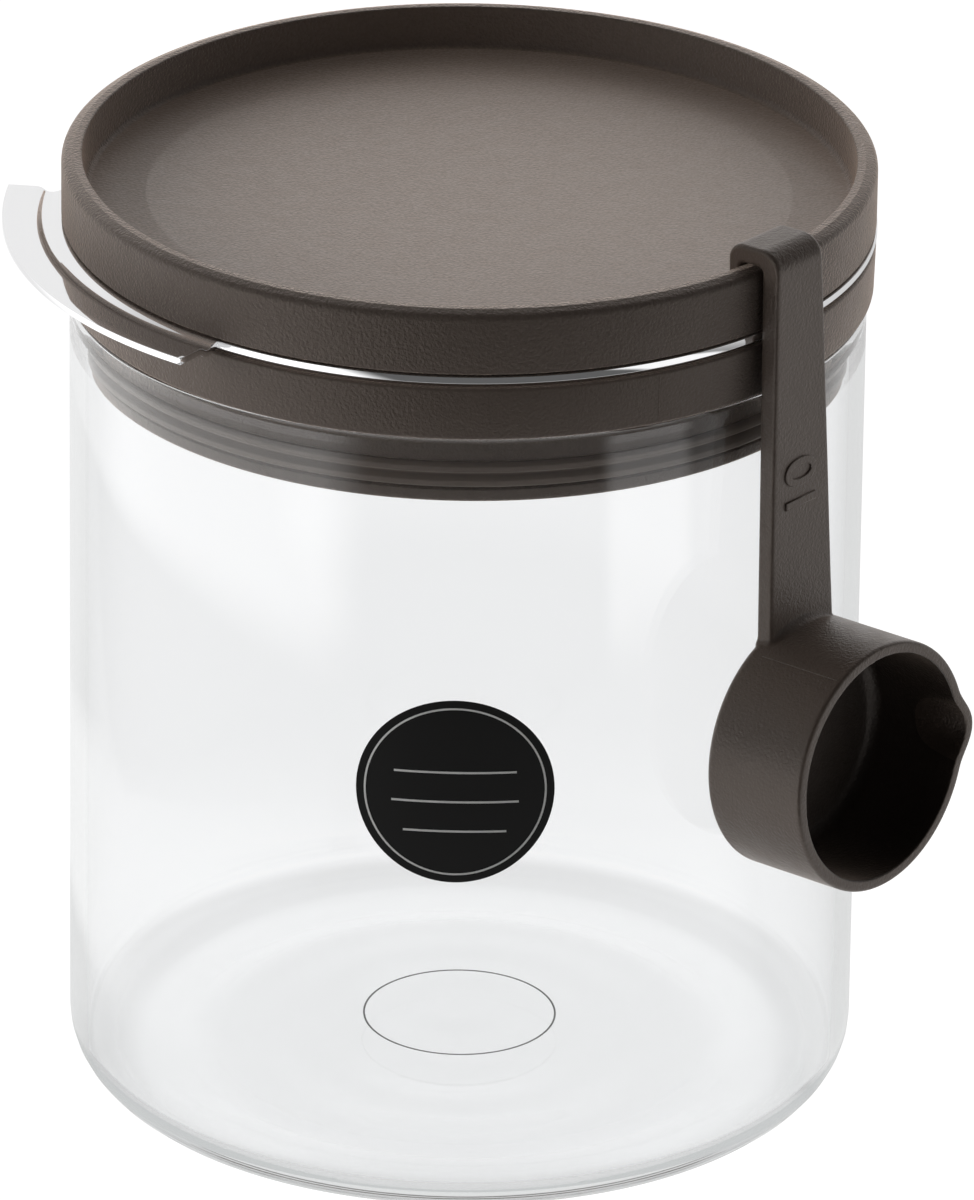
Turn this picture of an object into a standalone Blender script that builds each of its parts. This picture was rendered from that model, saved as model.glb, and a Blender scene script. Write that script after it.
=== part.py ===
"""A glass storage jar with a plug lid and a hooked measuring spoon.

The glass is a straight beaker. The lid is a stack: a hollow plug with a soft
ring in its groove, a sheet steel band with a lift tab, and a tray on top that
clips through the band into the plug. The spoon hangs on the rim of the tray.
Metres, +Z up, origin at the centre of the underside, -Y at the front.
"""
import math

import bmesh
import bpy
from mathutils import Matrix, Vector

MM = 0.001

# The glass beaker
GLASS_RADIUS = 50.0 * MM
GLASS_HEIGHT = 107.4 * MM
GLASS_WALL = 2.1 * MM
GLASS_FLOOR = 3.6 * MM
FLOOR_CROWN = 2.0 * MM
BASE_CORNER = 7.2 * MM
INNER_CORNER = 5.4 * MM

# Gaps between pieces that rest on each other
SEAT_GAP = 0.3 * MM
STACK_GAP = 0.2 * MM

# The collar of the plug, which stands on the mouth of the glass
LID_OVERHANG = 1.0 * MM
COLLAR_HEIGHT = 6.9 * MM
COLLAR_TAPER = 0.2 * MM
COLLAR_WALL = 1.8 * MM
COLLAR_EDGE = 0.45 * MM
WEB = 1.8 * MM
SHADOW_GROOVE = 0.6 * MM
SHADOW_DEPTH = 1.0 * MM

# The plug below the collar, inside the mouth
PLUG_DEPTH = 9.5 * MM
PLUG_WALL = 1.8 * MM
PLUG_FLOOR = 1.6 * MM
PLUG_SLACK = 0.7 * MM
NECK_SLACK = 1.1 * MM
FLANGE_HEIGHT = 1.7 * MM
FLANGE_ROUND = 0.6 * MM
PLUG_FILLET = 1.0 * MM

# The soft ring in the plug's groove
GASKET_GROOVE = 3.7 * MM
GASKET_DEPTH = 2.3 * MM
GASKET_GAP = 0.2 * MM
LIP_SLACK = 0.25 * MM
LIP_HEIGHT = 1.15 * MM
LIP_RELIEF = 0.75 * MM

# The steel band and its lift tab
SHEET = 0.9 * MM
BAND_PROUD = 0.1 * MM
BAND_WIDTH = 4.0 * MM
TAB_REACH = 7.3 * MM
TAB_START = -97.5
TAB_END = -36.8
VALLEY_REACH = 1.7 * MM
VALLEY_DEPTH = 0.5 * MM
CLIMB_REACH = 2.2 * MM
FLANGE_REACH = 4.1 * MM
FLANGE_LIFT = 0.16 * MM

# The tray on top
TRAY_HEIGHT = 8.2 * MM
TRAY_RECESS = 5.4 * MM
TRAY_WALL = 2.6 * MM
TRAY_FLOOR = 1.8 * MM
TRAY_DRAFT = 0.3 * MM
RIM_SHOULDER = 1.5 * MM
RIM_FALL = 0.5 * MM
RIM_ROUND = 0.9 * MM
RIM_EDGE = 0.25 * MM
TRAY_FILLET = 1.2 * MM
RIB_COUNT = 6
RIB_DEPTH = 2.4 * MM
RIB_THICKNESS = 1.2 * MM
HUB_RADIUS = 8.0 * MM

# The clip ring that reaches from the tray into the plug
CLIP_WALL = 1.4 * MM
CLIP_LENGTH = 5.6 * MM
BEAD = 0.5 * MM
BEAD_HEIGHT = 1.2 * MM

# The measuring spoon
SPOON_TURN = 49.0
SPOON_LEAN = 2.2
HOOK_THICKNESS = 2.35 * MM
HOOK_BEND = 2.8 * MM
HOOK_TIP_BEND = 2.2 * MM
HOOK_CORNER = 0.8 * MM
HOOK_DROP = 3.0 * MM
HOOK_PLAY = 0.8 * MM
TIP_THICKNESS = 1.7 * MM
TIP_EDGE = 0.5 * MM
HANDLE_THICKNESS = 2.7 * MM
HANDLE_FOOT = 2.35 * MM
HANDLE_TOP_WIDTH = 8.5 * MM
HANDLE_TAPER = 0.0745
HANDLE_EDGE = 0.35 * MM
CUP_DROP = 63.5 * MM
CUP_RADIUS = 16.1 * MM
CUP_LENGTH = 15.2 * MM
CUP_WALL = 1.5 * MM
CUP_BASE = 1.6 * MM
CUP_DRAFT = 0.2 * MM
CUP_EDGE = 1.0 * MM
CUP_ROOT = 2.0 * MM
MOUTH_EDGE = 0.3 * MM
LIP_OUT = 1.7 * MM
LIP_HALF_ANGLE = 20.0
LIP_LENGTH = 8.5 * MM
WELD_FILLET = 1.1 * MM
FILLET_BITE = 0.1 * MM
FOOT_FILLET = 1.0 * MM

# How finely the round forms are divided
TURN_STEPS = 64
TAB_STEPS = 16
CUP_STEPS = 48
FILLET_STEPS = 3
FILLET_SPANS = 7

# Places that follow from the sizes above
MOUTH_RADIUS = GLASS_RADIUS - GLASS_WALL
LID_RADIUS = GLASS_RADIUS + LID_OVERHANG
COLLAR_BASE = GLASS_HEIGHT + SEAT_GAP
COLLAR_TOP = COLLAR_BASE + COLLAR_HEIGHT
LAND = COLLAR_TOP + SHADOW_GROOVE
BAND_BASE = LAND + STACK_GAP
BAND_TOP = BAND_BASE + SHEET
TRAY_BASE = BAND_TOP + STACK_GAP
RIM_TOP = TRAY_BASE + TRAY_HEIGHT
TRAY_TOP = RIM_TOP - TRAY_RECESS
TRAY_UNDERSIDE = TRAY_TOP - TRAY_FLOOR
PLUG_BASE = COLLAR_BASE - PLUG_DEPTH
FLANGE_RADIUS = MOUTH_RADIUS - PLUG_SLACK
NECK_RADIUS = MOUTH_RADIUS - NECK_SLACK
GROOVE_BASE = PLUG_BASE + FLANGE_HEIGHT
GROOVE_TOP = GROOVE_BASE + GASKET_GROOVE
GROOVE_RADIUS = FLANGE_RADIUS - GASKET_DEPTH
PLUG_BORE = GROOVE_RADIUS - PLUG_WALL
SKIRT_TOP = TRAY_UNDERSIDE - SEAT_GAP
LAND_RADIUS = LID_RADIUS - SHADOW_DEPTH
BAND_RADIUS = LID_RADIUS + BAND_PROUD
BAND_BORE = BAND_RADIUS - BAND_WIDTH
CLIP_INNER = GROOVE_RADIUS + SEAT_GAP
CLIP_OUTER = CLIP_INNER + CLIP_WALL
CLIP_END = TRAY_UNDERSIDE - CLIP_LENGTH


def clear_scene():
    """Start from an empty scene."""
    for thing in list(bpy.data.objects):
        bpy.data.objects.remove(thing, do_unlink=True)


def finish_of(name, colour, roughness, metallic=0.0, transmission=0.0):
    """One Principled material for one sub-part."""
    material = bpy.data.materials.new(name)
    material.use_nodes = True
    shader = material.node_tree.nodes["Principled BSDF"]
    shader.inputs["Base Color"].default_value = (*colour, 1.0)
    shader.inputs["Roughness"].default_value = roughness
    shader.inputs["Metallic"].default_value = metallic
    shader.inputs["Transmission Weight"].default_value = transmission
    return material


def rounded(corners, closed):
    """An outline of (radius, height, fillet) corners, each fillet as an arc."""
    points = []
    count = len(corners)
    for index, (across, up, fillet) in enumerate(corners):
        here = Vector((across, up))
        ends = not closed and index in (0, count - 1)
        if fillet == 0.0 or ends:
            points.append(here)
            continue
        before = Vector(corners[index - 1][:2]) - here
        after = Vector(corners[(index + 1) % count][:2]) - here
        half = before.angle(after) / 2
        back = min(fillet / math.tan(half), 0.49 * before.length, 0.49 * after.length)
        centre = here + (before.normalized() + after.normalized()).normalized() * (back / math.cos(half))
        start = here + before.normalized() * back - centre
        stop = here + after.normalized() * back - centre
        for step in range(FILLET_STEPS + 1):
            part = step / FILLET_STEPS
            points.append(centre + start.normalized().slerp(stop.normalized(), part) * start.length)
    return points


def add_object(name, mesh_data, material, sharp=35.0):
    """Put a bmesh into the scene as one smooth-shaded object."""
    bmesh.ops.recalc_face_normals(mesh_data, faces=mesh_data.faces)
    mesh = bpy.data.meshes.new(name)
    mesh_data.to_mesh(mesh)
    mesh_data.free()
    mesh.shade_smooth()
    mesh.set_sharp_from_angle(angle=math.radians(sharp))
    thing = bpy.data.objects.new(name, mesh)
    bpy.context.collection.objects.link(thing)
    if material:
        mesh.materials.append(material)
    return thing


def turned(outline, steps, closed, axis=(0, 0, 1)):
    """Spin an outline of (radius, height) points round an axis through the origin."""
    shape = bmesh.new()
    axis = Vector(axis)
    out = Vector((1, 0, 0)) if axis.z else Vector((0, 0, 1))
    verts = [shape.verts.new(out * point[0] + axis * point[1]) for point in outline]
    edges = [shape.edges.new(pair) for pair in zip(verts, verts[1:])]
    if closed:
        edges.append(shape.edges.new((verts[-1], verts[0])))
    bmesh.ops.spin(shape, geom=verts + edges, cent=(0, 0, 0), axis=axis, dvec=(0, 0, 0),
                   angle=2 * math.pi, steps=steps, use_merge=True, use_duplicate=False)
    bmesh.ops.remove_doubles(shape, verts=shape.verts, dist=0.002 * MM)
    return shape


def cutter(thing):
    """Keep an object as a guide that only a Boolean reads."""
    thing.hide_render = True
    thing.display_type = "WIRE"
    return thing


def boolean(target, tool, operation):
    """Combine a guide object with a sub-part."""
    modifier = target.modifiers.new(f"{operation.lower()}_{tool.name}", "BOOLEAN")
    modifier.operation = operation
    modifier.solver = "EXACT"
    modifier.object = tool
    return modifier


def glass_jar():
    """Straight beaker with a soft base corner, a crowned floor and a fire-rounded rim."""
    rim = GLASS_WALL / 2
    edge = MOUTH_RADIUS - INNER_CORNER
    crown = [(edge * share, GLASS_FLOOR + FLOOR_CROWN * (1 - share * share), 0.0) for share in (0.66, 0.33, 0.0)]
    corners = [
        (0.0, 0.0, 0.0),
        (GLASS_RADIUS, 0.0, BASE_CORNER),
        (GLASS_RADIUS, GLASS_HEIGHT, rim),
        (MOUTH_RADIUS, GLASS_HEIGHT, rim),
        (MOUTH_RADIUS, GLASS_FLOOR, INNER_CORNER),
    ]
    outline = rounded(corners + crown, closed=False)
    glass = finish_of("clear_glass", (0.95, 0.97, 0.97), 0.02, transmission=1.0)
    return add_object("glass_jar", turned(outline, TURN_STEPS, closed=False), glass)


def lid_plug(plastic):
    """Collar, hollow plug and ring groove in one moulding, open at the top."""
    bead_base = CLIP_END - STACK_GAP
    bead_top = CLIP_END + BEAD_HEIGHT + STACK_GAP
    catch = GROOVE_RADIUS - BEAD
    web_top = COLLAR_BASE + WEB
    corners = [
        (0.0, PLUG_BASE, 0.0),
        (FLANGE_RADIUS, PLUG_BASE, FLANGE_ROUND),
        (FLANGE_RADIUS, GROOVE_BASE, 0.0),
        (GROOVE_RADIUS, GROOVE_BASE, 0.0),
        (GROOVE_RADIUS, GROOVE_TOP, 0.0),
        (NECK_RADIUS, GROOVE_TOP, 0.0),
        (NECK_RADIUS, COLLAR_BASE, 0.0),
        (LID_RADIUS - COLLAR_TAPER, COLLAR_BASE, COLLAR_EDGE),
        (LID_RADIUS, COLLAR_TOP, COLLAR_EDGE / 2),
        (LAND_RADIUS, COLLAR_TOP, 0.0),
        (LAND_RADIUS, LAND, 0.0),
        (LAND_RADIUS - COLLAR_WALL, LAND, 0.0),
        (LAND_RADIUS - COLLAR_WALL, web_top, 0.0),
        (GROOVE_RADIUS, web_top, 0.0),
        (GROOVE_RADIUS, bead_base, 0.0),
        (catch, bead_base + BEAD, 0.0),
        (catch, bead_top - BEAD, 0.0),
        (GROOVE_RADIUS, bead_top, 0.0),
        (GROOVE_RADIUS, SKIRT_TOP, 0.0),
        (PLUG_BORE, SKIRT_TOP, 0.0),
        (PLUG_BORE, PLUG_BASE + PLUG_FLOOR, PLUG_FILLET),
        (0.0, PLUG_BASE + PLUG_FLOOR, 0.0),
    ]
    outline = rounded(corners, closed=False)
    return add_object("lid_plug", turned(outline, TURN_STEPS, closed=False), plastic)


def gasket():
    """Soft ring with two lips that press on the mouth of the glass."""
    inner = GROOVE_RADIUS + GASKET_GAP
    lips = MOUTH_RADIUS - LIP_SLACK
    root = lips - LIP_RELIEF
    base = GROOVE_BASE + GASKET_GAP
    top = GROOVE_TOP - GASKET_GAP
    taper = (top - base - 2 * LIP_HEIGHT) / 2
    corners = [
        (inner, base, 0.0),
        (root, base, 0.0),
        (lips, base + taper / 2, 0.0),
        (lips, base + LIP_HEIGHT, 0.0),
        (root, base + LIP_HEIGHT + taper / 2, 0.0),
        (root, top - LIP_HEIGHT - taper / 2, 0.0),
        (lips, top - LIP_HEIGHT, 0.0),
        (lips, top - taper / 2, 0.0),
        (root, top, 0.0),
        (inner, top, 0.0),
    ]
    outline = rounded(corners, closed=True)
    silicone = finish_of("soft_ring", (0.16, 0.13, 0.115), 0.45)
    return add_object("gasket", turned(outline, TURN_STEPS, closed=True), silicone)


def tab_height(reach):
    """Height of the tab above the band, at a distance outside the band's edge."""
    if reach <= VALLEY_REACH:
        return -VALLEY_DEPTH * (1 - math.cos(math.pi * reach / VALLEY_REACH)) / 2
    climb = min(max(reach - CLIMB_REACH, 0.0) / (FLANGE_REACH - CLIMB_REACH), 1.0)
    return -VALLEY_DEPTH + (VALLEY_DEPTH + FLANGE_LIFT) * (1 - math.cos(math.pi * climb)) / 2


def around(radius, degrees, height):
    """A point at an angle that counts from the front towards +X."""
    angle = math.radians(degrees)
    return radius * math.sin(angle), -radius * math.cos(angle), height


def steel_band():
    """Sheet steel washer whose edge shows all round, with one lift tab pressed into it."""
    sheet = bmesh.new()
    rest = 360.0 - (TAB_END - TAB_START)
    rest_steps = TURN_STEPS - 8
    angles = [TAB_START + (TAB_END - TAB_START) * step / TAB_STEPS for step in range(TAB_STEPS)]
    angles += [TAB_END + rest * step / rest_steps for step in range(rest_steps)]
    bore = [sheet.verts.new(around(BAND_BORE, angle, BAND_TOP)) for angle in angles]
    edge = [sheet.verts.new(around(BAND_RADIUS, angle, BAND_TOP)) for angle in angles]
    count = len(angles)
    for index in range(count):
        after = (index + 1) % count
        sheet.faces.new((bore[index], edge[index], edge[after], bore[after]))
    valley = [VALLEY_REACH * share for share in (0.25, 0.5, 0.75, 1.0)]
    climb = [CLIMB_REACH + (FLANGE_REACH - CLIMB_REACH) * share for share in (0.0, 0.25, 0.5, 0.75, 1.0)]
    inner = edge[:TAB_STEPS + 1]
    for reach in valley + climb + [TAB_REACH]:
        height = BAND_TOP + tab_height(reach)
        outer = [sheet.verts.new(around(BAND_RADIUS + reach, angle, height)) for angle in angles[:TAB_STEPS + 1]]
        for step in range(TAB_STEPS):
            sheet.faces.new((inner[step], outer[step], outer[step + 1], inner[step + 1]))
        inner = outer
    steel = finish_of("polished_steel", (0.78, 0.78, 0.79), 0.06, metallic=1.0)
    band = add_object("steel_band", sheet, steel)
    upward(band)
    thickness = band.modifiers.new("sheet", "SOLIDIFY")
    thickness.thickness = SHEET
    thickness.offset = -1.0
    thickness.use_even_offset = True
    return band


def upward(sheet):
    """Turn an open sheet so that its faces point up."""
    shape = bmesh.new()
    shape.from_mesh(sheet.data)
    if sum(face.normal.z for face in shape.faces) < 0:
        bmesh.ops.reverse_faces(shape, faces=shape.faces)
    shape.to_mesh(sheet.data)
    shape.free()


def tray_ribs():
    """Radial stiffening ribs under the tray's floor, as one guide object."""
    ribs = bmesh.new()
    outer = PLUG_BORE - SEAT_GAP - RIB_THICKNESS
    length = outer - HUB_RADIUS
    for index in range(RIB_COUNT):
        angle = 2 * math.pi * index / RIB_COUNT
        box = bmesh.ops.create_cube(ribs, size=1.0)["verts"]
        bmesh.ops.scale(ribs, verts=box, vec=(length, RIB_THICKNESS, RIB_DEPTH + TRAY_FLOOR / 2))
        middle = TRAY_UNDERSIDE - RIB_DEPTH + (RIB_DEPTH + TRAY_FLOOR / 2) / 2
        bmesh.ops.translate(ribs, verts=box, vec=(HUB_RADIUS + length / 2, 0, middle))
        bmesh.ops.rotate(ribs, verts=box, cent=(0, 0, 0), matrix=Matrix.Rotation(angle, 3, "Z"))
    return cutter(add_object("ribs_guide", ribs, None))


def lid_tray(plastic):
    """Shallow tray with a rounded rim, ribs below and a clip ring for the plug."""
    inner_top = LID_RADIUS - TRAY_WALL
    skirt_inner = LID_RADIUS - TRAY_WALL + TRAY_DRAFT
    corners = [
        (0.0, TRAY_UNDERSIDE, 0.0),
        (CLIP_INNER, TRAY_UNDERSIDE, 0.0),
        (CLIP_INNER, CLIP_END + BEAD_HEIGHT, 0.0),
        (CLIP_INNER - BEAD, CLIP_END + BEAD_HEIGHT - BEAD, 0.0),
        (CLIP_INNER - BEAD, CLIP_END + BEAD / 2, 0.0),
        (CLIP_INNER, CLIP_END, 0.0),
        (CLIP_OUTER, CLIP_END, 0.0),
        (CLIP_OUTER, TRAY_UNDERSIDE, 0.0),
        (skirt_inner, TRAY_UNDERSIDE, 0.0),
        (skirt_inner, TRAY_BASE, 0.0),
        (LID_RADIUS, TRAY_BASE, RIM_EDGE),
        (LID_RADIUS, RIM_TOP - RIM_FALL, RIM_ROUND),
        (LID_RADIUS - RIM_SHOULDER, RIM_TOP, 0.0),
        (inner_top, RIM_TOP, RIM_EDGE),
        (inner_top - TRAY_DRAFT, TRAY_TOP, TRAY_FILLET),
        (0.0, TRAY_TOP, 0.0),
    ]
    outline = rounded(corners, closed=False)
    tray = add_object("lid_tray", turned(outline, TURN_STEPS, closed=False), plastic)
    boolean(tray, tray_ribs(), "UNION")
    return tray


def lip_push(across, up, depth):
    """How far the pouring lip moves a wall point outwards, by angle and by depth from the mouth."""
    angle = math.degrees(math.atan2(up, across))
    if abs(angle) >= LIP_HALF_ANGLE or depth >= LIP_LENGTH:
        return 0.0
    swell = math.cos(math.pi / 2 * angle / LIP_HALF_ANGLE) ** 2
    return LIP_OUT * swell * (1 - depth / LIP_LENGTH) ** 2


def cup_solid(name, outline, material):
    """Turn a cup outline round the spoon's outward axis and press the pouring lip into it."""
    shape = turned(outline, CUP_STEPS, closed=False, axis=(1, 0, 0))
    for vert in shape.verts:
        across, up = vert.co.y, vert.co.z
        radius = math.hypot(across, up)
        if radius > CUP_RADIUS / 2:
            push = lip_push(across, up, CUP_LENGTH - vert.co.x)
            vert.co.y *= 1 + push / radius
            vert.co.z *= 1 + push / radius
    thing = add_object(name, shape, material)
    for vert in thing.data.vertices:
        vert.co.z -= CUP_DROP
    return thing


def cup_outside(plastic):
    """The cup as a full drum, before it is hollowed."""
    lip_rings = [(CUP_RADIUS, CUP_LENGTH - LIP_LENGTH * share, 0.0) for share in (1.0, 0.65, 0.35)]
    corners = [(0.0, 0.0, 0.0), (CUP_RADIUS - CUP_DRAFT, 0.0, CUP_EDGE)] + lip_rings
    corners += [(CUP_RADIUS, CUP_LENGTH, MOUTH_EDGE), (0.0, CUP_LENGTH, 0.0)]
    return cup_solid("measuring_spoon", rounded(corners, closed=False), plastic)


def cup_inside():
    """The hollow of the cup, which runs out past its mouth."""
    bore = CUP_RADIUS - CUP_WALL
    beyond = CUP_LENGTH + CUP_WALL
    lip_rings = [(bore, CUP_LENGTH - LIP_LENGTH * share, 0.0) for share in (1.0, 0.65, 0.35, 0.0)]
    corners = [(0.0, CUP_BASE, 0.0), (bore - CUP_DRAFT, CUP_BASE, CUP_ROOT)] + lip_rings
    corners += [(bore, beyond, 0.0), (0.0, beyond, 0.0)]
    return cutter(cup_solid("cup_guide", rounded(corners, closed=False), None))


def handle_half(up):
    """Half the handle's straight width at a height above the hook's seat."""
    return (HANDLE_TOP_WIDTH - HANDLE_TAPER * min(up, 0.0)) / 2


def foot_heights():
    """Heights where the fillet at each side of the handle starts and where it meets the drum."""
    reach = CUP_RADIUS + FOOT_FILLET
    side = handle_half(CUP_RADIUS - CUP_DROP) + FOOT_FILLET
    rise = math.sqrt(reach * reach - side * side)
    return rise - CUP_DROP, rise * CUP_RADIUS / reach - CUP_DROP


def filleted_half(up):
    """Half the handle's width with the fillet that leads its side into the drum."""
    start, touch = foot_heights()
    drop = min(max(start - up, 0.0), start - touch)
    return handle_half(up) + FOOT_FILLET - math.sqrt(FOOT_FILLET * FOOT_FILLET - drop * drop)


def handle_paths():
    """The hook and handle in side view: its convex and its concave side as (outward, up) points."""
    slot = TRAY_WALL + HOOK_PLAY + SEAT_GAP
    seat = SEAT_GAP + TRAY_WALL * math.sin(math.radians(SPOON_LEAN))
    top = seat + HOOK_THICKNESS
    start, touch = foot_heights()
    stations = [start + (touch - start) * share for share in (0.0, 0.45, 0.8, 1.0)] + [touch - CUP_WALL / 2]
    leg = -slot - TIP_THICKNESS
    convex = [
        (leg + TIP_EDGE, -HOOK_DROP, 0.0),
        (leg, TIP_EDGE - HOOK_DROP, 0.0),
        (leg, top, HOOK_TIP_BEND),
        (HANDLE_THICKNESS, top, HOOK_BEND),
    ]
    concave = [
        (-slot - TIP_EDGE, -HOOK_DROP, 0.0),
        (-slot, TIP_EDGE - HOOK_DROP, 0.0),
        (-slot, seat, HOOK_CORNER),
        (0.0, seat, HOOK_CORNER),
    ]
    convex += [(HANDLE_FOOT, up, 0.0) for up in stations]
    concave += [(0.0, up, 0.0) for up in stations]
    return rounded(convex, closed=False), rounded(concave, closed=False)


def handle_strip():
    """Hook and handle as one strip with chamfered edges, wider towards the cup."""
    rings = []
    strip = bmesh.new()
    for front, back in zip(*handle_paths()):
        edge = (front - back).normalized() * HANDLE_EDGE
        half = filleted_half((front.y + back.y) / 2)
        corners = [(front, HANDLE_EDGE - half), (front, half - HANDLE_EDGE), (front - edge, half), (back + edge, half)]
        corners += [(back, half - HANDLE_EDGE), (back, HANDLE_EDGE - half), (back + edge, -half), (front - edge, -half)]
        rings.append([strip.verts.new((point.x, side, point.y)) for point, side in corners])
    for first, second in zip(rings, rings[1:]):
        for index in range(8):
            after = (index + 1) % 8
            strip.faces.new((first[index], first[after], second[after], second[index]))
    strip.faces.new(rings[0])
    strip.faces.new(rings[-1])
    return cutter(add_object("handle_guide", strip, None))


def weld_fillet():
    """Fillet that runs over the drum in front of the handle's face."""
    fillet = bmesh.new()
    half = math.asin((handle_half(CUP_RADIUS - CUP_DROP) - HANDLE_EDGE) / CUP_RADIUS)
    inside = CUP_RADIUS - CUP_WALL / 2
    top = CUP_RADIUS + WELD_FILLET
    section = [(HANDLE_FOOT / 2, inside), (HANDLE_FOOT / 2, top), (HANDLE_FOOT - FILLET_BITE, top)]
    for step in range(1, FILLET_STEPS):
        angle = math.pi / 2 * step / FILLET_STEPS
        section.append((HANDLE_FOOT + WELD_FILLET * (1 - math.cos(angle)), top - WELD_FILLET * math.sin(angle)))
    front = HANDLE_FOOT + WELD_FILLET
    section += [(front, CUP_RADIUS - FILLET_BITE), (front, inside)]
    rings = []
    for step in range(FILLET_SPANS + 1):
        angle = half * (2 * step / FILLET_SPANS - 1)
        rings.append([fillet.verts.new((out, radius * math.sin(angle), radius * math.cos(angle) - CUP_DROP))
                      for out, radius in section])
    count = len(section)
    for first, second in zip(rings, rings[1:]):
        for index in range(count):
            after = (index + 1) % count
            fillet.faces.new((first[index], first[after], second[after], second[index]))
    fillet.faces.new(rings[0])
    fillet.faces.new(rings[-1])
    return cutter(add_object("fillet_guide", fillet, None))


def measuring_spoon(plastic):
    """Drum-shaped measure on a flat handle whose hook drops over the tray's rim."""
    spoon = cup_outside(plastic)
    guides = [handle_strip(), weld_fillet(), cup_inside()]
    for guide, operation in zip(guides, ("UNION", "UNION", "DIFFERENCE")):
        boolean(spoon, guide, operation)
    seat = around(LID_RADIUS + SEAT_GAP, SPOON_TURN, RIM_TOP)
    for thing in [spoon] + guides:
        thing.location = seat
        thing.rotation_euler = (0.0, -math.radians(SPOON_LEAN), math.radians(SPOON_TURN - 90.0))
    return spoon


def build():
    """Make every sub-part in its place."""
    clear_scene()
    plastic = finish_of("taupe_plastic", (0.125, 0.105, 0.09), 0.55)
    glass_jar()
    lid_plug(plastic)
    gasket()
    steel_band()
    lid_tray(plastic.copy())
    measuring_spoon(plastic.copy())


build()
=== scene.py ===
# %% [markdown]
# # A glass storage jar with a plug lid and a hooked spoon
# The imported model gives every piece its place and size. This script dresses it: each plain solid gets
# a finer mesh of the same form, with real fillets, and a material made from nodes.

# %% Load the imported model
import math

import bmesh
import bpy
from mathutils import Matrix, Vector


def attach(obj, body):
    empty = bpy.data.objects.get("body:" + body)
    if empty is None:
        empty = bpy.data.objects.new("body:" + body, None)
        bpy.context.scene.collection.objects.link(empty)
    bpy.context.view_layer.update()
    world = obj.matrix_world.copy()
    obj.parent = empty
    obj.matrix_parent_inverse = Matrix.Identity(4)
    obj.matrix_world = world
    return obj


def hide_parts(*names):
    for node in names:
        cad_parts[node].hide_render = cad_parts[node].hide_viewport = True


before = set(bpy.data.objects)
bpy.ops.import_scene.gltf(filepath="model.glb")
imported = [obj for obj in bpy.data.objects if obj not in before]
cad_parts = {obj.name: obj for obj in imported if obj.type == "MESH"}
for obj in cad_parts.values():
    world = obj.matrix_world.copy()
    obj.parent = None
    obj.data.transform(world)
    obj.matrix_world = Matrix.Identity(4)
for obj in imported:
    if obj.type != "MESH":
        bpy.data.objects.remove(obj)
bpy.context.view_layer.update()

# %% [markdown]
# ## Sizes
# The solids are measured in metres, but a jar is easier to think about in millimetres. All the meshes
# are drawn in millimetres and shrunk at the end. The sizes that pieces share stand here once.

# %% Shared sizes in millimetres
MM = 0.001
GLASS_OUT = 50.0
GLASS_IN = 47.9
GLASS_TOP = 107.4
COLLAR_LOW = 107.7
COLLAR_HIGH = 114.6
COLLAR_OUT = 50.8
LID_OUT = 51.0
BAND_TOP = 116.3
TRAY_LOW = 116.5
RIM_TOP = 124.7
TRAY_FLOOR_TOP = 119.3
TRAY_UNDER = 117.5
PLUG_LOW = 98.2
GROOVE_LOW = 99.9
GROOVE_HIGH = 103.6
GROOVE_IN = 44.9
ROUND_STEPS = 256
print("glass", 2 * GLASS_OUT, "mm across, lid rim at", RIM_TOP, "mm")

# %% [markdown]
# ## Drawing a turned piece
# Glass, plug, ring and tray are all turned forms. A Screw modifier could spin an outline, but drawing
# the rings of vertices directly keeps every quad and lets the outline touch the axis at one point.
# Corners are given with their fillet radius, and the fillets become short arcs.

# %% Helpers for outlines and turned meshes
def arcs(corners, closed=False, steps=8):
    """Turn (across, up, fillet) corners into an outline with arcs at the fillets."""
    points = []
    count = len(corners)
    for index, (across, up, fillet) in enumerate(corners):
        here = Vector((across, up))
        if fillet == 0 or (not closed and index in (0, count - 1)):
            points.append(here)
            continue
        before = Vector(corners[index - 1][:2]) - here
        after = Vector(corners[(index + 1) % count][:2]) - here
        half = before.angle(after) / 2
        back = min(fillet / math.tan(half), 0.49 * before.length, 0.49 * after.length)
        middle = before.normalized() + after.normalized()
        centre = here + middle.normalized() * (back / math.cos(half))
        start = here + before.normalized() * back - centre
        stop = here + after.normalized() * back - centre
        for step in range(steps + 1):
            turn = start.normalized().slerp(stop.normalized(), step / steps)
            points.append(centre + turn * start.length)
    return points


def around(radius, angle, height):
    """A point by its distance from the jar's axis and its angle from the front."""
    return radius * math.sin(angle), -radius * math.cos(angle), height


def add_object(name, data):
    """A new object in the scene."""
    piece = bpy.data.objects.new(name, data)
    bpy.context.collection.objects.link(piece)
    return piece


def mesh_from(name, shape):
    """Turn a drawn shape into a mesh, and free the shape."""
    mesh = bpy.data.meshes.new(name)
    shape.to_mesh(mesh)
    shape.free()
    return mesh


def finish_mesh(name, shape, material, crease=32.0):
    """Close a millimetre mesh off, shrink it to metres and make it an object."""
    bmesh.ops.recalc_face_normals(shape, faces=shape.faces)
    bmesh.ops.scale(shape, verts=shape.verts, vec=(MM, MM, MM))
    mesh = mesh_from(name, shape)
    mesh.shade_smooth()
    mesh.set_sharp_from_angle(angle=math.radians(crease))
    mesh.materials.append(material)
    return add_object(name, mesh)


def join_rings(shape, pairs):
    """Fill the strips between pairs of rings; a ring on the axis is one point many times."""
    for lower, upper in pairs:
        for step in range(len(lower)):
            after = (step + 1) % len(lower)
            corners = (lower[step], lower[after], upper[after], upper[step])
            shape.faces.new(list(dict.fromkeys(corners)))


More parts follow.
